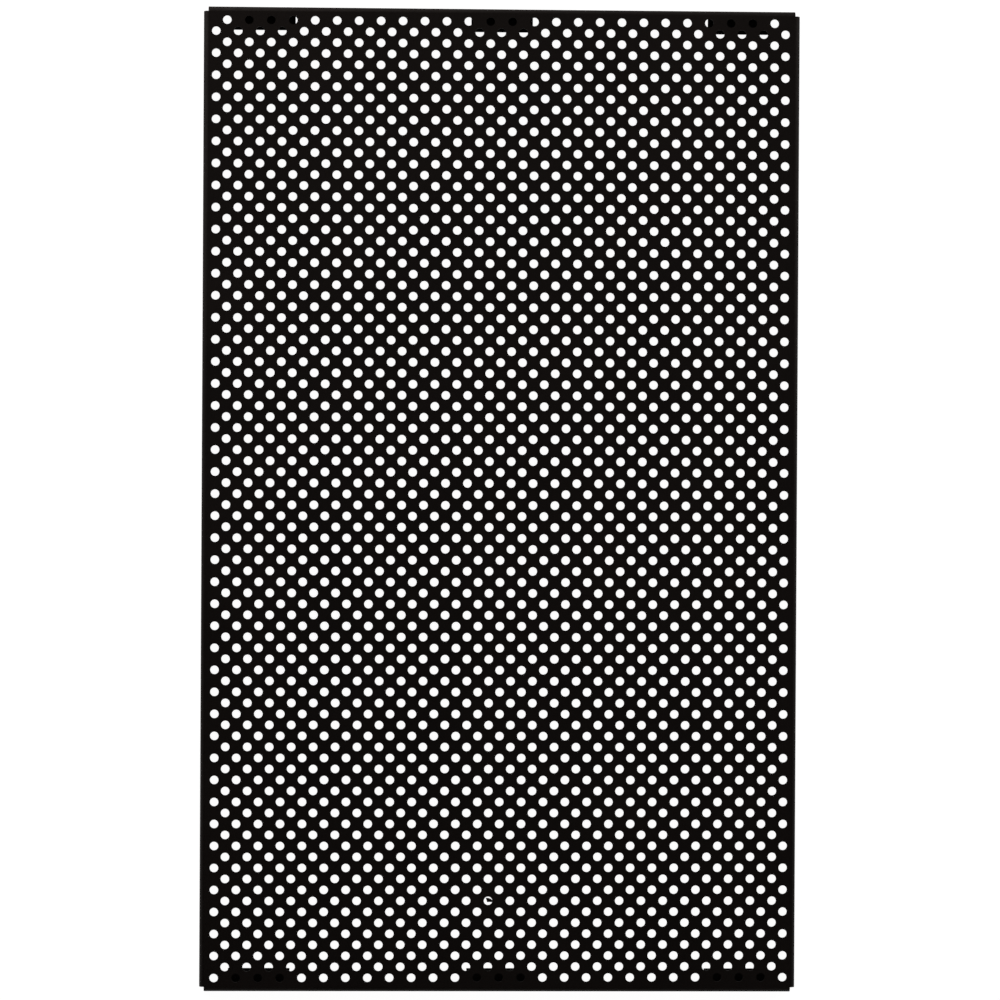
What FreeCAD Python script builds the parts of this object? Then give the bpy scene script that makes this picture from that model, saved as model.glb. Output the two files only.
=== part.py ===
import FreeCAD, Part
import math
import os

# A queen excluder: a punched steel sheet whose four edges are folded down into a
# shallow tray, with six foot cleats welded inside its two end flanges.
#
# The excluder lies flat, as it does on a hive body. X runs across its width, Y runs
# along its length, and Z points up, with z = 0 at the lower edge of the flanges,
# where it rests. The origin is at the middle of its outline. All sizes are in mm.

# Driving dimensions
WIDTH = 307.2
LENGTH = 506.3
HEIGHT = 10.0
SHEET = 1.0
BEND_INSIDE_RADIUS = 1.4

HOLE_DIAMETER = 4.4
HOLE_COLUMNS = 53
HOLE_ROWS = 88
COLUMN_STEP = 5.64            # between neighbouring columns, so 8 mm from hole to hole
ROW_STEP = 5.66               # along the diagonals of the pattern
PATTERN_SKEW = 0.13           # degrees by which the punching is turned, against the folds
PATTERN_SHIFT = 0.35          # by which the punching lies nearer to the rear end

FOOT_WIDTH = 31.8
FOOT_DEPTH = 11.0             # from the excluder's end face to the foot's free edge
REAR_FOOT_SPACING = 122.5     # between the middles of neighbouring feet
FRONT_FOOT_SPACING = 123.2

# Sizes that follow from them
BEND_OUTSIDE_RADIUS = BEND_INSIDE_RADIUS + SHEET
FIELD_WIDTH = WIDTH - 2 * BEND_OUTSIDE_RADIUS
FIELD_LENGTH = LENGTH - 2 * BEND_OUTSIDE_RADIUS
SHEET_UNDERSIDE = HEIGHT - SHEET
FOOT_LEG_HEIGHT = SHEET_UNDERSIDE - BEND_INSIDE_RADIUS
TOLERANCE = 0.001

UP = FreeCAD.Vector(0, 0, 1)
DOWN = FreeCAD.Vector(0, 0, -1)
CENTRE = FreeCAD.Vector(0, 0, 0)
PATTERN_ORIGIN = FreeCAD.Vector(0, PATTERN_SHIFT, 0)


def hole_rims(row):
    """The lower rims of one row's holes. The pattern is a chessboard of rows and
    columns, with a hole at every second crossing. A rim runs clockwise seen from
    above, against the sheet's outline, as the edge of a hole has to."""
    turn = FreeCAD.Rotation(UP, PATTERN_SKEW)
    y = ((HOLE_ROWS - 1) / 2 - row) * ROW_STEP
    rims = []
    for column in range(HOLE_COLUMNS):
        if (row + column) % 2 == 1:
            x = (column - (HOLE_COLUMNS - 1) / 2) * COLUMN_STEP
            centre = turn.multVec(FreeCAD.Vector(x, y, SHEET_UNDERSIDE)) + PATTERN_ORIGIN
            rims.append(Part.Wire([Part.makeCircle(HOLE_DIAMETER / 2, centre, DOWN)]))
    return rims


def strip_border(row):
    """The line across the sheet, halfway between this row of holes and the next."""
    return (HOLE_ROWS / 2 - 1 - row) * ROW_STEP + PATTERN_SHIFT


def perforated_sheet():
    """The flat field between the four bends, with all of its round holes. Its surface
    is laid out in strips, one to a row of holes, that are sewn into one solid."""
    borders = [strip_border(row) for row in range(HOLE_ROWS - 1)]
    rear_edges = [FIELD_LENGTH / 2] + borders
    front_edges = borders + [-FIELD_LENGTH / 2]
    surface = []
    for row, (rear, front) in enumerate(zip(rear_edges, front_edges)):
        corner = FreeCAD.Vector(-FIELD_WIDTH / 2, front, SHEET_UNDERSIDE)
        outline = Part.makePlane(FIELD_WIDTH, rear - front, corner, UP).OuterWire
        strip = Part.Face([outline] + hole_rims(row)).extrude(UP * SHEET)
        surface += [face for face in strip.Faces if not is_between_strips(face)]
    shell = Part.makeShell(surface)
    shell.sewShape()
    return Part.makeSolid(shell)


def is_between_strips(face):
    """Whether a strip's face is the flat end that it shares with the next strip."""
    crosswise = face.BoundBox.YLength < TOLERANCE
    return crosswise and abs(face.CenterOfMass.y) < FIELD_LENGTH / 2 - TOLERANCE


def folded_flange(length):
    """One folded edge, along Y on the +X side of a bend line at x = 0: a quarter turn
    that leaves the field's edge face, and the flat flange that hangs from it."""
    inside = BEND_INSIDE_RADIUS
    outside = BEND_OUTSIDE_RADIUS
    bend_height = SHEET_UNDERSIDE - inside
    slope = math.sqrt(0.5)

    def point(x, z):
        return FreeCAD.Vector(x, -length / 2, z)

    outer_bend = Part.Arc(
        point(0, HEIGHT),
        point(outside * slope, bend_height + outside * slope),
        point(outside, bend_height),
    )
    inner_bend = Part.Arc(
        point(inside, bend_height),
        point(inside * slope, bend_height + inside * slope),
        point(0, SHEET_UNDERSIDE),
    )
    profile = Part.Wire([
        outer_bend.toShape(),
        Part.makeLine(point(outside, bend_height), point(outside, 0)),
        Part.makeLine(point(outside, 0), point(inside, 0)),
        Part.makeLine(point(inside, 0), point(inside, bend_height)),
        inner_bend.toShape(),
        Part.makeLine(point(0, SHEET_UNDERSIDE), point(0, HEIGHT)),
    ])
    return Part.Face(profile).extrude(FreeCAD.Vector(0, length, 0))


def foot_cleat():
    """An angle of flat steel: a leg that lies against the inside of a flange whose
    inner face is at x = 0, and a foot plate that turns in from it along -X, level
    with the flange's lower edge."""
    reach = FOOT_DEPTH - SHEET
    leg = Part.makeBox(
        SHEET, FOOT_WIDTH, FOOT_LEG_HEIGHT, FreeCAD.Vector(-SHEET, -FOOT_WIDTH / 2, 0)
    )
    plate = Part.makeBox(
        reach, FOOT_WIDTH, SHEET, FreeCAD.Vector(-reach, -FOOT_WIDTH / 2, 0)
    )
    return leg.fuse(plate).removeSplitter()


def placed(shape, offset, angle):
    """A copy moved out along X by the offset, then turned about the middle of the tray."""
    copy = shape.copy()
    copy.translate(FreeCAD.Vector(offset, 0, 0))
    copy.rotate(CENTRE, UP, angle)
    return copy


def flanges():
    """The four folded edges. Each stops at the ends of the field, which leaves the
    square relief notch that every corner of a folded tray has."""
    side = folded_flange(FIELD_LENGTH)
    end = folded_flange(FIELD_WIDTH)
    return {
        "right_side_flange": placed(side, FIELD_WIDTH / 2, 0),
        "rear_end_flange": placed(end, FIELD_LENGTH / 2, 90),
        "left_side_flange": placed(side, FIELD_WIDTH / 2, 180),
        "front_end_flange": placed(end, FIELD_LENGTH / 2, 270),
    }


def feet():
    """Three cleats inside each end flange, placed by hand, so not quite alike."""
    cleat = foot_cleat()
    flange_inner_face = LENGTH / 2 - SHEET
    nodes = {}
    for end, angle, spacing in (("rear", 90, REAR_FOOT_SPACING), ("front", 270, FRONT_FOOT_SPACING)):
        for side, step in (("left", -1), ("middle", 0), ("right", 1)):
            foot = placed(cleat, flange_inner_face, angle)
            foot.translate(FreeCAD.Vector(step * spacing, 0, 0))
            nodes[f"{end}_{side}_foot_cleat"] = foot
    return nodes


os.makedirs("parts", exist_ok=True)
pieces = {"perforated_sheet": perforated_sheet()}
pieces.update(flanges())
pieces.update(feet())
for node, shape in pieces.items():
    shape.exportStep(f"parts/{node}.step")
    box = shape.BoundBox
    print(f"{node}: volume {shape.Volume:.1f} mm3,",
          f"x {box.XMin:.2f} to {box.XMax:.2f}, y {box.YMin:.2f} to {box.YMax:.2f},",
          f"z {box.ZMin:.2f} to {box.ZMax:.2f}")
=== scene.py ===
import math

import bmesh
import bpy
from mathutils import Matrix, Vector
from mathutils.bvhtree import BVHTree


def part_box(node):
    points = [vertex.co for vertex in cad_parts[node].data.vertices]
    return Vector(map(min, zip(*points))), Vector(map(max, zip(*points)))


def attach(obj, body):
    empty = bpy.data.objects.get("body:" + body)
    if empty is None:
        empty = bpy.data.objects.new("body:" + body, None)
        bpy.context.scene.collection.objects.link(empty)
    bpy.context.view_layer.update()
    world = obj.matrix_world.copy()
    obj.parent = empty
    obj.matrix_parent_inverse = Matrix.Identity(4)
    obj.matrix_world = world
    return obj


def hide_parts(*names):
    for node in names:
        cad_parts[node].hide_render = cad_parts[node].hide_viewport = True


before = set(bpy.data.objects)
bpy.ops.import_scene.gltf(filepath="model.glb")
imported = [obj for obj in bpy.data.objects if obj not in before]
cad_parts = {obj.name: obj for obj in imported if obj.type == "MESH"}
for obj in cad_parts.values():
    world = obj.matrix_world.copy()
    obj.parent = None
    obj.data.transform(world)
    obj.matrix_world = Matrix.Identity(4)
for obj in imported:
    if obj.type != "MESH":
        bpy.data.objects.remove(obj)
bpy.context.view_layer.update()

# ---------------------------------------------------------------------------
# The punched field of the tray: 1 mm mild steel, punched with round bee holes on a
# diagonal pattern, then folded down on all four sides and powder coated matt black.
# This section makes the flat field, which ends at the four bend lines.
# ---------------------------------------------------------------------------
MM = 0.001
HOLE_DIAMETER = 4.4 * MM
HOLE_COLUMNS = 53                   # a hole at every second crossing of column and row
HOLE_ROWS = 88
COLUMN_STEP = 5.64 * MM             # so 8 mm from hole to hole, along the diagonals
ROW_STEP = 5.66 * MM
PATTERN_SKEW = math.radians(0.13)   # the punching is turned a little against the folds
PATTERN_SHIFT = 0.35 * MM           # and lies a little nearer to the rear end
HOLE_SIDES = 16
MERGE_DISTANCE = 0.02 * MM
CUT_TOLERANCE = 0.002 * MM
SHARP_EDGE = math.radians(35)       # shading breaks where faces meet more sharply than this

field_low, field_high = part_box("perforated_sheet")
sheet_thickness = field_high.z - field_low.z
pattern_place = (
    Matrix.Translation((0, PATTERN_SHIFT, field_high.z)) @ Matrix.Rotation(PATTERN_SKEW, 4, "Z")
)


def vertices_of(geometry):
    return [part for part in geometry if isinstance(part, bmesh.types.BMVert)]


def repeat(mesh, geometry, step, copies):
    """Lays copies of the geometry beside it, each a step further on, and gives back all."""
    whole = list(geometry)
    for number in range(1, copies + 1):
        copy = bmesh.ops.duplicate(mesh, geom=geometry)["geom"]
        bmesh.ops.translate(mesh, verts=vertices_of(copy), vec=step * number)
        whole += copy
    return whole


def crossing(column, row):
    """Where a column and a row cross, before the pattern is put in its place."""
    x = (column - (HOLE_COLUMNS - 1) / 2) * COLUMN_STEP
    y = ((HOLE_ROWS - 1) / 2 - row) * ROW_STEP
    return Vector((x, y, 0))


def edges_at(vertices):
    """The edges that meet at the vertices, each once, in an order that doesn't change."""
    return list(dict.fromkeys(edge for vertex in vertices for edge in vertex.link_edges))


def new_diamond(mesh, column, row, punched):
    """The diamond of sheet round one crossing, with its hole or blank."""
    place = Matrix.Translation(crossing(column, row))
    size = Matrix.Diagonal((COLUMN_STEP, ROW_STEP, 1, 1))
    border = bmesh.ops.create_circle(
        mesh, segments=4, radius=1, cap_ends=not punched, matrix=place @ size
    )["verts"]
    if not punched:
        return border + edges_at(border) + list(border[0].link_faces)
    # a circle of flat sides with the area of the round hole
    side_angle = 2 * math.pi / HOLE_SIDES
    radius = HOLE_DIAMETER / 2 * math.sqrt(side_angle / math.sin(side_angle))
    rim = bmesh.ops.create_circle(mesh, segments=HOLE_SIDES, radius=radius, matrix=place)["verts"]
    outlines = edges_at(border + rim)
    filled = bmesh.ops.triangle_fill(mesh, edges=outlines, use_beauty=True, normal=(0, 0, 1))["geom"]
    faces = [part for part in filled if isinstance(part, bmesh.types.BMFace)]
    return border + rim + edges_at(border + rim) + faces


def punched_field():
    """The pattern, laid out as punched diamonds with a border of blank ones, put in its
    place, cut along the four bend lines and given its thickness."""
    mesh = bmesh.new()
    across = Vector((2 * COLUMN_STEP, 0, 0))
    down = Vector((0, -2 * ROW_STEP, 0))
    wide_row = repeat(mesh, new_diamond(mesh, 0, 1, True), across, HOLE_COLUMNS // 2)
    narrow_row = repeat(mesh, new_diamond(mesh, 1, 0, True), across, HOLE_COLUMNS // 2 - 1)
    repeat(mesh, wide_row + narrow_row, down, HOLE_ROWS // 2 - 1)
    repeat(mesh, new_diamond(mesh, 0, -1, False), across, HOLE_COLUMNS // 2)
    repeat(mesh, new_diamond(mesh, -1, HOLE_ROWS, False), across, HOLE_COLUMNS // 2 + 1)
    repeat(mesh, new_diamond(mesh, -1, 0, False), down, HOLE_ROWS // 2 - 1)
    repeat(mesh, new_diamond(mesh, HOLE_COLUMNS, 0, False), down, HOLE_ROWS // 2 - 1)
    bmesh.ops.remove_doubles(mesh, verts=mesh.verts, dist=MERGE_DISTANCE)

    bmesh.ops.transform(mesh, matrix=pattern_place, verts=mesh.verts)
    for corner, outwards in (
        (field_low, Vector((-1, 0, 0))), (field_low, Vector((0, -1, 0))),
        (field_high, Vector((1, 0, 0))), (field_high, Vector((0, 1, 0))),
    ):
        everything = list(mesh.verts) + list(mesh.edges) + list(mesh.faces)
        bmesh.ops.bisect_plane(
            mesh, geom=everything, dist=CUT_TOLERANCE,
            plane_co=corner, plane_no=outwards, clear_outer=True,
        )
    bmesh.ops.recalc_face_normals(mesh, faces=mesh.faces)
    if mesh.faces[0].normal.z < 0:
        bmesh.ops.reverse_faces(mesh, faces=mesh.faces)
    bmesh.ops.solidify(mesh, geom=mesh.faces, thickness=sheet_thickness)
    return mesh


def finished_piece(mesh, name, material, slot, *nodes):
    """Turns the mesh into a piece of the excluder: smooth but for its sharp edges, in
    its material, riding on the one body and standing for the named CAD nodes."""
    data = bpy.data.meshes.new(name)
    mesh.to_mesh(data)
    mesh.free()
    data.polygons.foreach_set("use_smooth", [True] * len(data.polygons))
    data.set_sharp_from_angle(angle=SHARP_EDGE)
    data.materials.append(material)
    piece = bpy.data.objects.new(name, data)
    bpy.context.scene.collection.objects.link(piece)
    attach(piece, "root")
    if nodes:
        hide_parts(*nodes)


def colour(hex_code):
    """An sRGB hex code as the linear red, green, blue and alpha that a socket takes."""
    channels = [int(hex_code[start:start + 2], 16) / 255 for start in (1, 3, 5)]
    linear = [c / 12.92 if c <= 0.04045 else ((c + 0.055) / 1.055) ** 2.4 for c in channels]
    return (*linear, 1.0)


def add_node(tree, kind, settings=None, links=None):
    """Adds a node, sets its properties and sockets, and links other outputs into it."""
    node = tree.nodes.new(kind)
    for name, value in (settings or {}).items():
        if isinstance(name, str) and hasattr(node, name):
            setattr(node, name, value)
        else:
            node.inputs[name].default_value = value
    for name, output in (links or {}).items():
        tree.links.new(output, node.inputs[name])
    return node


GRAIN_SIZE = 0.45 * MM              # really about 0.05 mm: drawn as coarse as it needs to show
GRAIN_DEPTH = 0.05 * MM
PEEL_SIZE = 2.5 * MM                # orange peel, from crest to crest
PEEL_DEPTH = 0.08 * MM
PEEL_ROUGHNESS = 0.05               # either way from the coat's own roughness
CLOUD_SIZE = 60 * MM                # patches where the film is thicker or thinner
BUMP_STRENGTH = 0.6
BURNISH_START = 1.6 * MM            # below the top face: the lowest that hands polish
BURNISH_FULL = 0.3 * MM
NOISE_RANGE = {"From Min": 0.3, "From Max": 0.7}    # where most of a noise's values lie


def powder_coated_steel(name, dark, light, roughness, burnish):
    """Polyester powder coat, sprayed on as dry powder and baked: a matt, very dark skin.
    The eye sees its fine grain, a low orange peel over it, and cloudy patches where the
    film is a little thicker. The burnish is how far handling has polished raised edges."""
    material = bpy.data.materials.new(name)
    material.use_nodes = True
    tree = material.node_tree
    tree.nodes.clear()
    place = add_node(tree, "ShaderNodeTexCoord").outputs["Object"]

    grain = add_node(
        tree, "ShaderNodeTexNoise",
        {"Scale": 1 / GRAIN_SIZE, "Detail": 2.0, "Roughness": 0.6}, {"Vector": place},
    )
    peel = add_node(
        tree, "ShaderNodeTexNoise",
        {"Scale": 1 / PEEL_SIZE, "Detail": 1.0, "Roughness": 0.4}, {"Vector": place},
    )
    cloud = add_node(
        tree, "ShaderNodeTexNoise",
        {"Scale": 1 / CLOUD_SIZE, "Detail": 3.0, "Roughness": 0.55}, {"Vector": place},
    )

    # grain and clouds each make up half of the step from dark to light
    half = {**NOISE_RANGE, "To Min": 0.0, "To Max": 0.5}
    speckle = add_node(tree, "ShaderNodeMapRange", half, {"Value": grain.outputs[0]})
    patches = add_node(tree, "ShaderNodeMapRange", half, {"Value": cloud.outputs[0]})
    mixed = add_node(
        tree, "ShaderNodeMath", {"operation": "ADD"},
        {0: speckle.outputs[0], 1: patches.outputs[0]},
    )
    tone = add_node(
        tree, "ShaderNodeMix",
        {"data_type": "RGBA", 6: colour(dark), 7: colour(light)}, {0: mixed.outputs[0]},
    )

    # handling polishes what stands highest, so the burnish follows the height
    height = add_node(tree, "ShaderNodeSeparateXYZ", {}, {0: place})
    raised = add_node(
        tree, "ShaderNodeMapRange",
        {"interpolation_type": "SMOOTHSTEP", "From Min": field_high.z - BURNISH_START,
         "From Max": field_high.z - BURNISH_FULL, "To Min": 0.0, "To Max": burnish},
        {"Value": height.outputs["Z"]},
    )
    matt = add_node(
        tree, "ShaderNodeMapRange",
        {**NOISE_RANGE, "To Min": roughness - PEEL_ROUGHNESS, "To Max": roughness + PEEL_ROUGHNESS},
        {"Value": peel.outputs[0]},
    )
    polished = add_node(
        tree, "ShaderNodeMath", {"operation": "SUBTRACT"},
        {0: matt.outputs[0], 1: raised.outputs[0]},
    )

    fine = add_node(
        tree, "ShaderNodeBump", {"Strength": BUMP_STRENGTH, "Distance": GRAIN_DEPTH},
        {"Height": grain.outputs[0]},
    )
    wavy = add_node(
        tree, "ShaderNodeBump", {"Strength": BUMP_STRENGTH, "Distance": PEEL_DEPTH},
        {"Height": peel.outputs[0], "Normal": fine.outputs[0]},
    )
    coat = add_node(
        tree, "ShaderNodeBsdfPrincipled", {"IOR": 1.5, "Specular IOR Level": 0.35},
        {"Base Color": tone.outputs[2], "Roughness": polished.outputs[0],
         "Normal": wavy.outputs[0]},
    )
    add_node(tree, "ShaderNodeOutputMaterial", {}, {"Surface": coat.outputs[0]})
    return material


field_coat = powder_coated_steel("powder_coated_punched_steel", "#16110f", "#292220", 0.66, 0.0)
finished_piece(
    punched_field(), "punched_field", field_coat, "powder_coated_sheet", "perforated_sheet"
)

# ---------------------------------------------------------------------------
# One flake of coating: a chip of thick powder coat that was left standing in a hole
# near the front end, where the spray had bridged it. It hangs on the hole's right wall.
# ---------------------------------------------------------------------------
FLAKE_COLUMN = 25
FLAKE_ROW = 80
FLAKE_OUTLINE = (                   # in mm, from the middle of its hole
    (-1.15, 1.55), (0.1, 1.5), (1.5, 1.0), (2.45, 0.0), (2.35, -0.7), (1.0, -0.6), (-0.45, -0.65),
)
FLAKE_DROP = 0.35 * MM              # below the sheet's top face
FLAKE_THICKNESS = 0.25 * MM
FLAKE_ROUNDING = 0.08 * MM

flake = bmesh.new()
hole_middle = pattern_place @ crossing(FLAKE_COLUMN, FLAKE_ROW)
corners = [
    flake.verts.new(hole_middle + Vector((x * MM, y * MM, -FLAKE_DROP))) for x, y in FLAKE_OUTLINE
]
chip = flake.faces.new(corners)
chip.normal_update()
if chip.normal.z < 0:
    chip.normal_flip()
bmesh.ops.solidify(flake, geom=[chip], thickness=FLAKE_THICKNESS)
bmesh.ops.bevel(
    flake, geom=flake.edges, affect="EDGES", offset=FLAKE_ROUNDING, segments=2,
    profile=0.5, material=-1, clamp_overlap=True,
)
finished_piece(flake, "coating_flake", field_coat, "powder_coated_sheet")

# ---------------------------------------------------------------------------
# The four folded edges: the sheet's own margins, turned down on a press brake, with a
# square notch at each corner where two folds clear each other. The coat is polished a
# little along the bends. Spot welds have left dimples on the two end folds.
# ---------------------------------------------------------------------------
BEND_STEPS = 10
FLAT_START = 0.25 * MM              # the smooth shading of a bend ends this far beyond it
CUT_EDGE_RADIUS = 0.18 * MM         # powder coat rounds a sheared edge by about this
CUT_EDGE_ANGLE = math.radians(60)   # a sheared edge turns by more, a step of a bend by less
WELD_MARK_DIAMETER = 4.4 * MM       # an electrode tip for 1 mm sheet
WELD_MARK_DEPTH = 0.1 * MM
WELD_MARK_SLOPE = 0.6 * MM          # the width of the sloping rim
WELD_MARK_SIDES = 20
WELD_MARK_MARGIN = 0.25 * MM        # of flat face round the mark, cut out with it
WELD_SPACING = 18.0 * MM            # two welds to a cleat
WELD_HEIGHT = 4.5 * MM              # above the lower edge of the fold

fold_coat = powder_coated_steel("powder_coated_folded_steel", "#181311", "#2b2422", 0.66, 0.06)


def rounded_cut_edges(mesh, kept):
    """Rounds the sheared edges of folded sheet, leaving the edges that kept() names."""
    sharp = [
        edge for edge in mesh.edges
        if len(edge.link_faces) == 2 and edge.calc_face_angle() > CUT_EDGE_ANGLE
        and not kept(edge)
    ]
    bmesh.ops.bevel(
        mesh, geom=sharp, affect="EDGES", offset=CUT_EDGE_RADIUS, segments=2,
        profile=0.5, material=-1, clamp_overlap=True,
    )


def grow(mesh, face, step):
    """Extrudes the end face of a bar along the step, and gives back the new end face."""
    whole_end = [face] + list(face.edges) + list(face.verts)
    grown = bmesh.ops.extrude_face_region(mesh, geom=whole_end)["geom"]
    bmesh.ops.translate(mesh, verts=vertices_of(grown), vec=step)
    return next(part for part in grown if isinstance(part, bmesh.types.BMFace))


def sheared_end(mesh, thickness, length, place):
    """A sheet's end face, looking along +X, its thickness in Z and its length in Y."""
    stand = Matrix.Rotation(math.radians(90), 4, "Y")
    size = Matrix.Diagonal((thickness, length, 1, 1))
    bmesh.ops.create_grid(mesh, x_segments=1, y_segments=1, size=0.5, matrix=place @ stand @ size)
    return mesh.faces[:][0]


def folded_edge(bend_line, length, outside_radius, height):
    """A fold on the +X side: from the field's edge round the bend and down to z = 0."""
    mesh = bmesh.new()
    middle = Matrix.Translation((bend_line, 0, height - sheet_thickness / 2))
    end = sheared_end(mesh, sheet_thickness, length, middle)
    bent = bmesh.ops.spin(
        mesh, geom=[end] + list(end.edges) + list(end.verts),
        cent=(bend_line, 0, height - outside_radius), axis=(0, 1, 0),
        angle=math.radians(90), steps=BEND_STEPS,
    )["geom_last"]
    end = next(part for part in bent if isinstance(part, bmesh.types.BMFace))
    end = grow(mesh, end, Vector((0, 0, -FLAT_START)))
    grow(mesh, end, Vector((0, 0, FLAT_START + outside_radius - height)))
    bmesh.ops.recalc_face_normals(mesh, faces=mesh.faces)

    def at_bend_line(edge):
        return all(abs(v.co.x - bend_line) < MERGE_DISTANCE for v in edge.verts)

    rounded_cut_edges(mesh, at_bend_line)
    return mesh


def face_at(mesh, spot):
    """The face of the mesh that holds the spot."""
    number = BVHTree.FromBMesh(mesh).find_nearest(spot)[2]
    mesh.faces.ensure_lookup_table()
    return mesh.faces[number]


def press_weld_mark(mesh, spot, outwards):
    """Presses the shallow round dimple of a spot weld into the flat face at the spot."""
    reach = WELD_MARK_DIAMETER / 2 + WELD_MARK_MARGIN
    for direction in (Vector((0, 1, 0)), Vector((0, 0, 1))):
        for offset in (-reach, reach):
            flat = face_at(mesh, spot)
            bmesh.ops.bisect_plane(
                mesh, geom=[flat] + list(flat.edges) + list(flat.verts),
                dist=CUT_TOLERANCE, plane_co=spot + direction * offset, plane_no=direction,
            )
    square = face_at(mesh, spot)
    border = list(square.edges)
    bmesh.ops.delete(mesh, geom=[square], context="FACES_ONLY")
    facing = Vector((0, 0, 1)).rotation_difference(outwards).to_matrix().to_4x4()
    rim = bmesh.ops.create_circle(
        mesh, cap_ends=True, segments=WELD_MARK_SIDES, radius=WELD_MARK_DIAMETER / 2,
        matrix=Matrix.Translation(spot) @ facing,
    )["verts"]
    disc = rim[0].link_faces[0]
    bmesh.ops.triangle_fill(
        mesh, edges=border + list(disc.edges), use_beauty=True, normal=outwards
    )
    bmesh.ops.recalc_face_normals(mesh, faces=mesh.faces)
    bmesh.ops.inset_region(
        mesh, faces=[disc], thickness=WELD_MARK_SLOPE, depth=-WELD_MARK_DEPTH
    )


for side, node, turned in (
    ("right", "right_side_flange", 0), ("rear", "rear_end_flange", 90),
    ("left", "left_side_flange", 180), ("front", "front_end_flange", 270),
):
    low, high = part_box(node)
    across, along = (0, 1) if turned % 180 == 0 else (1, 0)
    bend_line = min(abs(low[across]), abs(high[across]))
    outside_radius = high[across] - low[across]
    fold = folded_edge(bend_line, high[along] - low[along], outside_radius, high.z)
    # the cleats lie alike on both sides of the middle, so the marks fit however it is turned
    for cleat_side in ("left", "middle", "right") if side in ("rear", "front") else ():
        cleat_low, cleat_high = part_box(f"{side}_{cleat_side}_foot_cleat")
        cleat_middle = (cleat_low.x + cleat_high.x) / 2
        for weld in (-WELD_SPACING / 2, WELD_SPACING / 2):
            spot = Vector((bend_line + outside_radius, cleat_middle + weld, WELD_HEIGHT))
            press_weld_mark(fold, spot, Vector((1, 0, 0)))
    turn = Matrix.Rotation(math.radians(turned), 4, "Z")
    bmesh.ops.rotate(fold, verts=fold.verts, cent=(0, 0, 0), matrix=turn)
    finished_piece(fold, side + "_folded_edge", fold_coat, "powder_coated_fold", node)

# ---------------------------------------------------------------------------
# The six foot cleats: strips of the same steel bent to an angle. The leg is spot
# welded inside an end fold, and the plate turns in under the sheet, level with the
# fold's lower edge, so that the excluder stands a bee space off the frames.
# ---------------------------------------------------------------------------
CLEAT_INSIDE_RADIUS = 0.5 * MM
CLEAT_STEPS = 6

cleat_coat = powder_coated_steel("powder_coated_steel_angle", "#15110f", "#28211e", 0.70, 0.0)


def bent_cleat(wall, width, reach, height):
    """An angle on the +X side whose leg stands against the wall, a plane across X."""
    mesh = bmesh.new()
    bend = CLEAT_INSIDE_RADIUS + sheet_thickness
    lie = Matrix.Rotation(math.radians(90), 4, "Y")
    middle = Matrix.Translation((wall - sheet_thickness / 2, 0, height))
    end = sheared_end(mesh, sheet_thickness, width, middle @ lie)
    end = grow(mesh, end, Vector((0, 0, bend + FLAT_START - height)))
    end = grow(mesh, end, Vector((0, 0, -FLAT_START)))
    bent = bmesh.ops.spin(
        mesh, geom=[end] + list(end.edges) + list(end.verts),
        cent=(wall - bend, 0, bend), axis=(0, 1, 0), angle=math.radians(90), steps=CLEAT_STEPS,
    )["geom_last"]
    end = next(part for part in bent if isinstance(part, bmesh.types.BMFace))
    end = grow(mesh, end, Vector((-FLAT_START, 0, 0)))
    grow(mesh, end, Vector((FLAT_START + bend - reach, 0, 0)))
    bmesh.ops.recalc_face_normals(mesh, faces=mesh.faces)
    rounded_cut_edges(mesh, lambda edge: False)
    for weld in (-WELD_SPACING / 2, WELD_SPACING / 2):
        spot = Vector((wall - sheet_thickness, weld, WELD_HEIGHT))
        press_weld_mark(mesh, spot, Vector((-1, 0, 0)))
    return mesh


for end_name, turned in (("rear", 90), ("front", 270)):
    turn = Matrix.Rotation(math.radians(turned), 4, "Z")
    for side in ("left", "middle", "right"):
        name = f"{end_name}_{side}_foot_cleat"
        low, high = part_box(name)
        wall = max(abs(low.y), abs(high.y))
        cleat = bent_cleat(wall, high.x - low.x, high.y - low.y, high.z)
        bmesh.ops.rotate(cleat, verts=cleat.verts, cent=(0, 0, 0), matrix=turn)
        bmesh.ops.translate(cleat, verts=cleat.verts, vec=((low.x + high.x) / 2, 0, 0))
        finished_piece(cleat, f"{end_name}_{side}_bent_cleat", cleat_coat, "powder_coated_cleat", name)

# ---------------------------------------------------------------------------
# The floor: a lit white table, which shows white through the holes as well as round
# the outline. It glows by itself, because the sheet lets only a quarter of the room's
# light through, and it looks brighter to the camera than it shines on the sheet.
# ---------------------------------------------------------------------------
TABLE_RADIUS = 6.0
TABLE_SIDES = 64
TABLE_GLOW = {"To Min": 0.35, "To Max": 0.97}       # as it shines, and as the camera sees it

table = bmesh.new()
bmesh.ops.create_circle(table, cap_ends=True, segments=TABLE_SIDES, radius=TABLE_RADIUS)
table_data = bpy.data.meshes.new("light_table")
table.to_mesh(table_data)
table.free()

# opal acrylic, lit from below: an even white glow with no gloss
opal = bpy.data.materials.new("lit_opal_acrylic")
opal.use_nodes = True
tree = opal.node_tree
tree.nodes.clear()
seen = add_node(tree, "ShaderNodeLightPath").outputs["Is Camera Ray"]
brightness = add_node(tree, "ShaderNodeMapRange", TABLE_GLOW, {"Value": seen})
glow = add_node(
    tree, "ShaderNodeEmission", {"Color": colour("#ffffff")}, {"Strength": brightness.outputs[0]}
)
skin = add_node(tree, "ShaderNodeBsdfDiffuse", {"Color": colour("#bcbcbc")})
both = add_node(tree, "ShaderNodeAddShader", {}, {0: glow.outputs[0], 1: skin.outputs[0]})
add_node(tree, "ShaderNodeOutputMaterial", {}, {"Surface": both.outputs[0]})
table_data.materials.append(opal)
floor = bpy.data.objects.new("light_table", table_data)
bpy.context.scene.collection.objects.link(floor)

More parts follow.
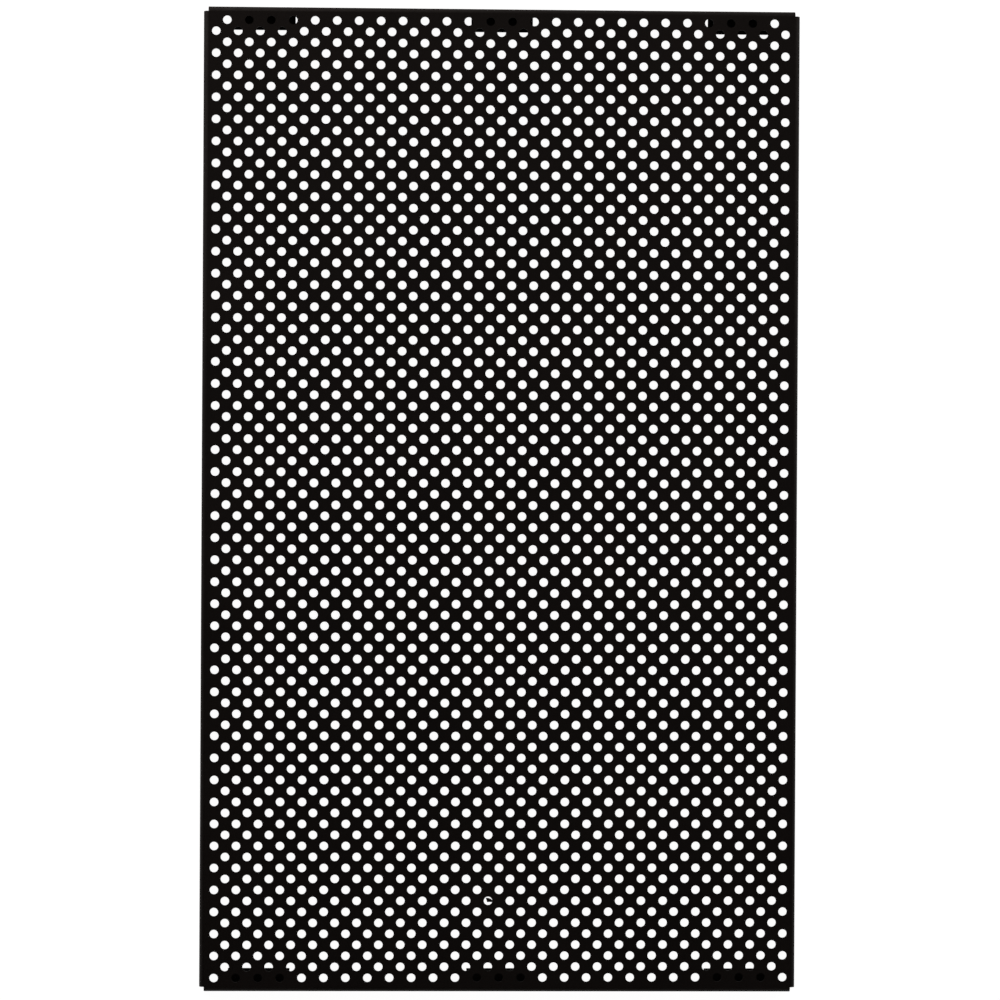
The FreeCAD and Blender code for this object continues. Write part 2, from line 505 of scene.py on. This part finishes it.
# ---------------------------------------------------------------------------
# The light: a pale room that darkens overhead, so that the matt face stays nearly
# black from above, and two soft boxes, low at the rear left and at the right, which
# the sheet catches along its bends. To the camera the room itself is plain white.
# ---------------------------------------------------------------------------
ROOM_WALLS = 0.42
ROOM_OVERHEAD = 0.009
OVERHEAD_START = 0.6                # how steeply upwards, as a sine, the room is darkest
SOFT_BOX_WIDTH = 0.9
SOFT_BOX_HEIGHT = 0.5

scene = bpy.context.scene
room = bpy.data.worlds.new("pale_room")
room.use_nodes = True
tree = room.node_tree
tree.nodes.clear()
direction = add_node(tree, "ShaderNodeTexCoord").outputs["Generated"]
upward = add_node(tree, "ShaderNodeSeparateXYZ", {}, {0: direction})
wall_to_ceiling = add_node(
    tree, "ShaderNodeMapRange",
    {"interpolation_type": "SMOOTHSTEP", "From Min": 0.0, "From Max": OVERHEAD_START,
     "To Min": ROOM_WALLS, "To Max": ROOM_OVERHEAD},
    {"Value": upward.outputs["Z"]},
)
air = add_node(
    tree, "ShaderNodeBackground", {"Color": colour("#fff7f2")},
    {"Strength": wall_to_ceiling.outputs[0]},
)
backdrop = add_node(tree, "ShaderNodeBackground", {"Color": colour("#ffffff"), "Strength": 1.0})
seen = add_node(tree, "ShaderNodeLightPath").outputs["Is Camera Ray"]
shown = add_node(
    tree, "ShaderNodeMixShader", {}, {0: seen, 1: air.outputs[0], 2: backdrop.outputs[0]}
)
add_node(tree, "ShaderNodeOutputWorld", {}, {"Surface": shown.outputs[0]})
scene.world = room

for name, place, energy in (
    ("main_soft_box", Vector((-0.75, 1.0, 0.55)), 3.6),
    ("side_soft_box", Vector((1.0, 0.55, 0.55)), 1.6),
):
    lamp = bpy.data.lights.new(name, "AREA")
    lamp.shape = "RECTANGLE"
    lamp.size = SOFT_BOX_WIDTH
    lamp.size_y = SOFT_BOX_HEIGHT
    lamp.energy = energy
    lamp.color = colour("#fff4ee")[:3]
    soft_box = bpy.data.objects.new(name, lamp)
    soft_box.location = place
    soft_box.rotation_euler = (-place).to_track_quat("-Z", "Y").to_euler()
    scene.collection.objects.link(soft_box)

# ---------------------------------------------------------------------------
# The camera: almost square above the sheet, two metres up on a long lens. It stands two
# degrees to the left of upright, and is turned by a third of a degree.
# ---------------------------------------------------------------------------
CAMERA_DISTANCE = 2.0
CAMERA_LEAN_ACROSS = math.radians(-2.1)
CAMERA_LEAN_ALONG = math.radians(0.30)
CAMERA_ROLL = math.radians(0.314)
AIM = Vector((-0.12 * MM, 0.34 * MM, field_high.z))
SENSOR_WIDTH = 36.0                 # in mm, as the lens's length
FOCAL_LENGTH = 139.8

towards_camera = Vector((math.tan(CAMERA_LEAN_ACROSS), math.tan(CAMERA_LEAN_ALONG), 1)).normalized()
lens = bpy.data.cameras.new("camera")
lens.type = "PERSP"
lens.sensor_width = SENSOR_WIDTH
lens.lens = FOCAL_LENGTH
camera = bpy.data.objects.new("camera", lens)
camera.location = AIM + towards_camera * CAMERA_DISTANCE
rightward = Vector((0, 1, 0)).cross(towards_camera).normalized()
upward = towards_camera.cross(rightward)
facing = Matrix((rightward, upward, towards_camera)).transposed()
camera.rotation_euler = (facing @ Matrix.Rotation(CAMERA_ROLL, 3, "Z")).to_euler()
scene.collection.objects.link(camera)
scene.camera = camera
scene.view_settings.view_transform = "Standard"
